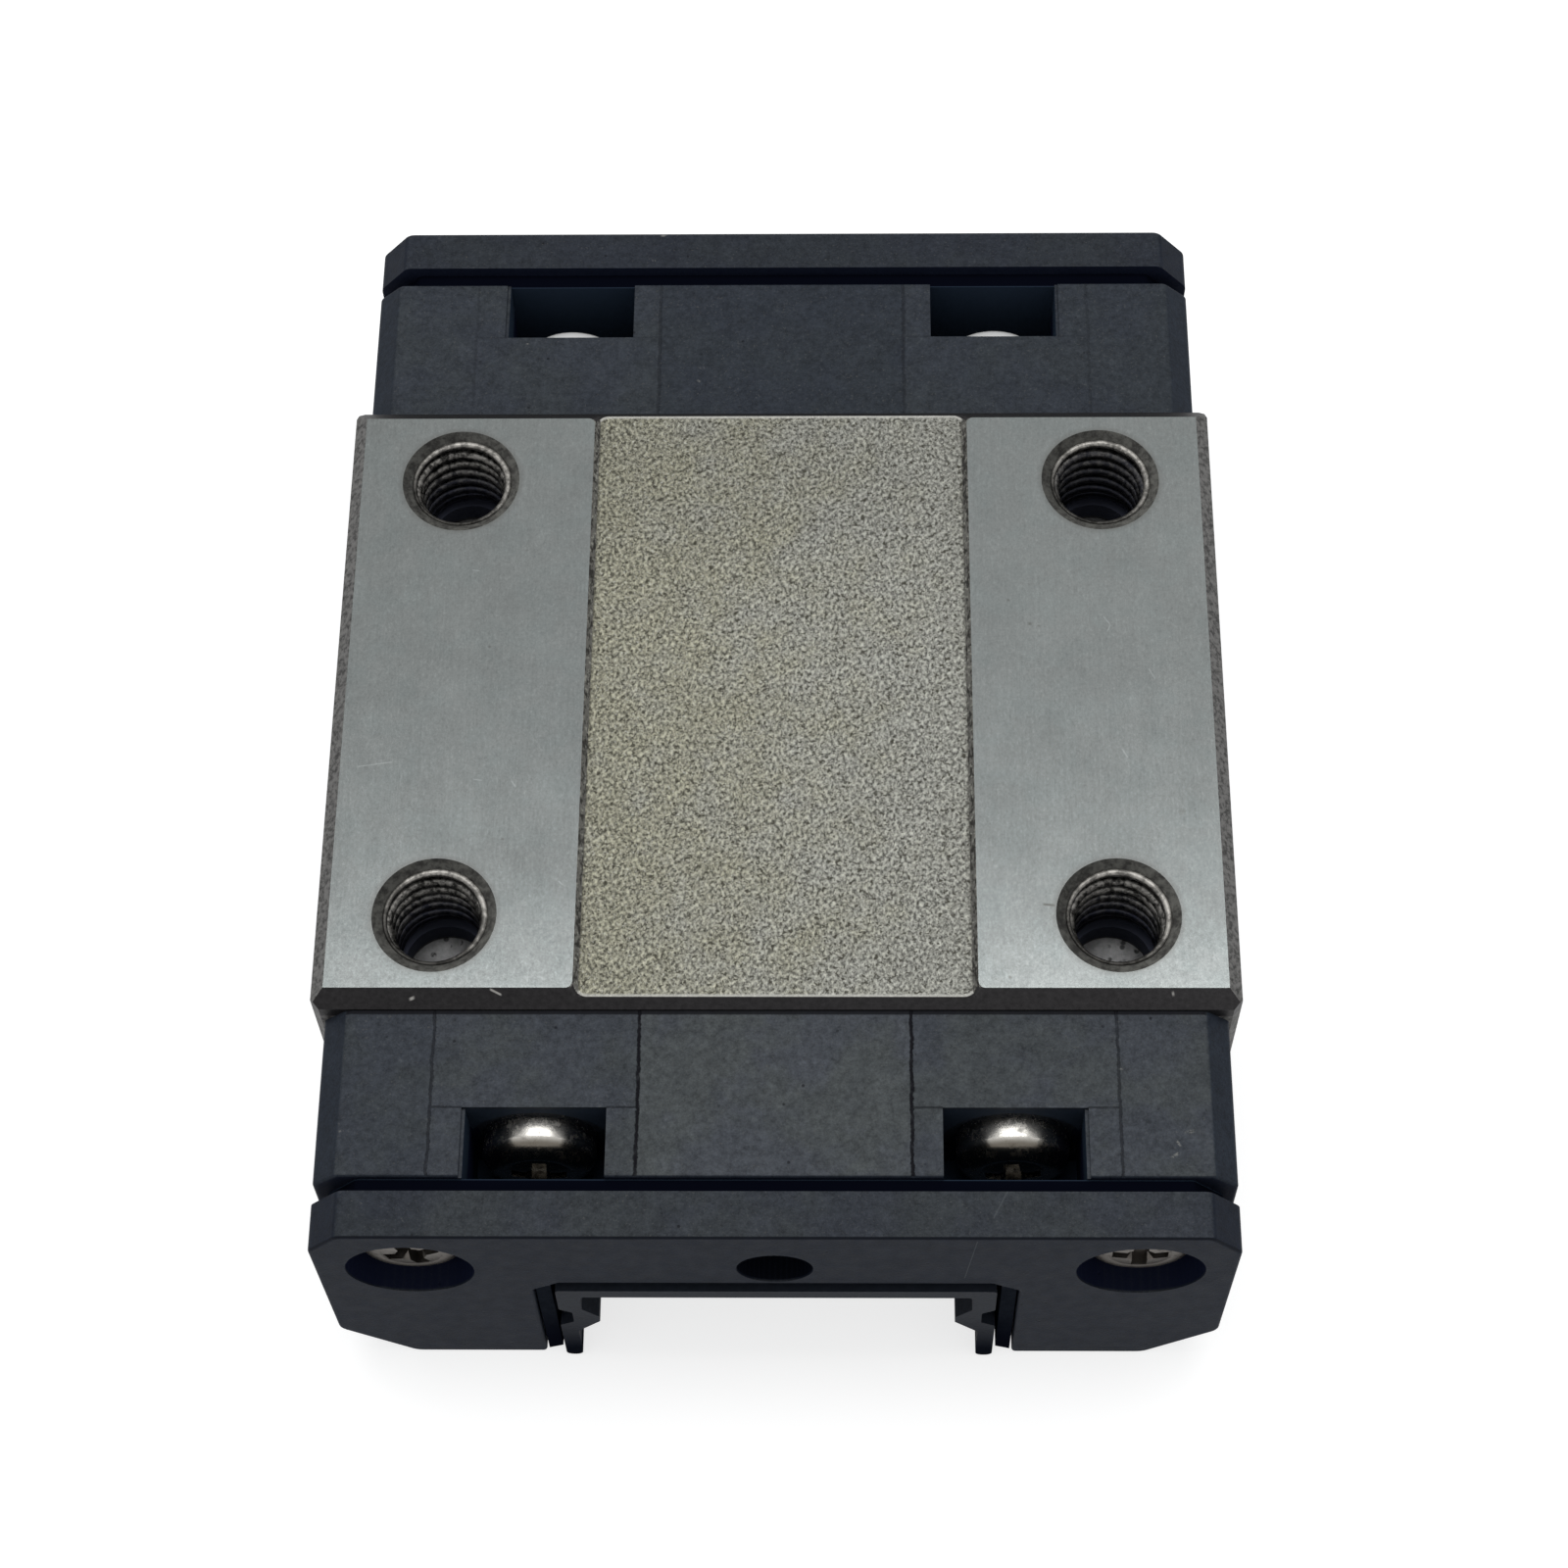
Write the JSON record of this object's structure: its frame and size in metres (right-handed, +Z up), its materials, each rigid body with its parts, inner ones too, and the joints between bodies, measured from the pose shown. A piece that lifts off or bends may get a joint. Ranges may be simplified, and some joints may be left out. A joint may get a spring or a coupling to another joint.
{
  "type": "linear_bearing_block",
  "caption": "Low, wide linear bearing block of worn steel between two dark plastic end caps, with recirculating balls inside",
  "frame": {"origin": "middle of the underside, on the rail's centre line", "axes": "+X is right across the width, +Y is the direction of travel, +Z is up out of the load face"},
  "size_m": [0.027, 0.0348, 0.0103],
  "materials": {
    "ground_steel": "ground bearing steel, worn",
    "cap_plastic": "moulded, dusty",
    "guide_plastic": "moulded",
    "seal_rubber": "moulded, dusty",
    "cap_screw_steel": "bright plated",
    "plate_screw_steel": "dull plated, dusty",
    "ball_steel": "polished bearing balls",
    "strip_steel": "plain strip"
  },
  "bodies": {
    "block": {"steel_body": "ground_steel", "front_end_cap": "cap_plastic", "front_seal": "seal_rubber", "front_cover_plate": "cap_plastic", "front_cap_screws": "cap_screw_steel", "front_plate_screws": "plate_screw_steel", "front_left_return_guide": "guide_plastic", "front_right_return_guide": "guide_plastic", "rear_end_cap": "cap_plastic", "rear_seal": "seal_rubber", "rear_cover_plate": "cap_plastic", "rear_cap_screws": "cap_screw_steel", "rear_plate_screws": "plate_screw_steel", "rear_left_return_guide": "guide_plastic", "rear_right_return_guide": "guide_plastic", "left_return_tube": "guide_plastic", "left_ball_strip": "strip_steel", "right_return_tube": "guide_plastic", "right_ball_strip": "strip_steel"},
    "left_loaded_row": {"left_loaded_balls": "ball_steel"},
    "left_return_row": {"left_return_balls": "ball_steel"},
    "front_left_turn": {"front_left_turn_balls": "ball_steel"},
    "rear_left_turn": {"rear_left_turn_balls": "ball_steel"},
    "right_loaded_row": {"right_loaded_balls": "ball_steel"},
    "right_return_row": {"right_return_balls": "ball_steel"},
    "front_right_turn": {"front_right_turn_balls": "ball_steel"},
    "rear_right_turn": {"rear_right_turn_balls": "ball_steel"}
  },
  "joints": [
    {"name": "left_loaded_row_travel", "type": "slide", "parent": "block", "child": "left_loaded_row", "axis": [0, 1, 0], "range_m": [-0.00122, 0.00122]},
    {"name": "left_return_row_travel", "type": "slide", "parent": "block", "child": "left_return_row", "axis": [0, 1, 0], "range_m": [-0.00122, 0.00122]},
    {"name": "front_left_turn_travel", "type": "hinge", "parent": "block", "child": "front_left_turn", "pos_m": [-0.00845, -0.01094, 0.0033], "axis": [0, 0, 1], "range_deg": [-45.01, 45.01]},
    {"name": "rear_left_turn_travel", "type": "hinge", "parent": "block", "child": "rear_left_turn", "pos_m": [-0.00845, 0.01094, 0.0033], "axis": [0, 0, 1], "range_deg": [-45.01, 45.01]},
    {"name": "right_loaded_row_travel", "type": "slide", "parent": "block", "child": "right_loaded_row", "axis": [0, 1, 0], "range_m": [-0.00122, 0.00122]},
    {"name": "right_return_row_travel", "type": "slide", "parent": "block", "child": "right_return_row", "axis": [0, 1, 0], "range_m": [-0.00122, 0.00122]},
    {"name": "front_right_turn_travel", "type": "hinge", "parent": "block", "child": "front_right_turn", "pos_m": [0.00845, -0.01094, 0.0033], "axis": [0, 0, 1], "range_deg": [-45.01, 45.01]},
    {"name": "rear_right_turn_travel", "type": "hinge", "parent": "block", "child": "rear_right_turn", "pos_m": [0.00845, 0.01094, 0.0033], "axis": [0, 0, 1], "range_deg": [-45.01, 45.01]}
  ],
  "couplings": [
    {"joint": "left_return_row_travel", "follows": "left_loaded_row_travel", "ratio": -1},
    {"joint": "front_left_turn_travel", "follows": "left_loaded_row_travel", "rad_per_m": 646.15},
    {"joint": "rear_left_turn_travel", "follows": "left_loaded_row_travel", "rad_per_m": 646.15},
    {"joint": "right_return_row_travel", "follows": "right_loaded_row_travel", "ratio": -1},
    {"joint": "front_right_turn_travel", "follows": "right_loaded_row_travel", "rad_per_m": -646.15},
    {"joint": "rear_right_turn_travel", "follows": "right_loaded_row_travel", "rad_per_m": -646.15}
  ]
}
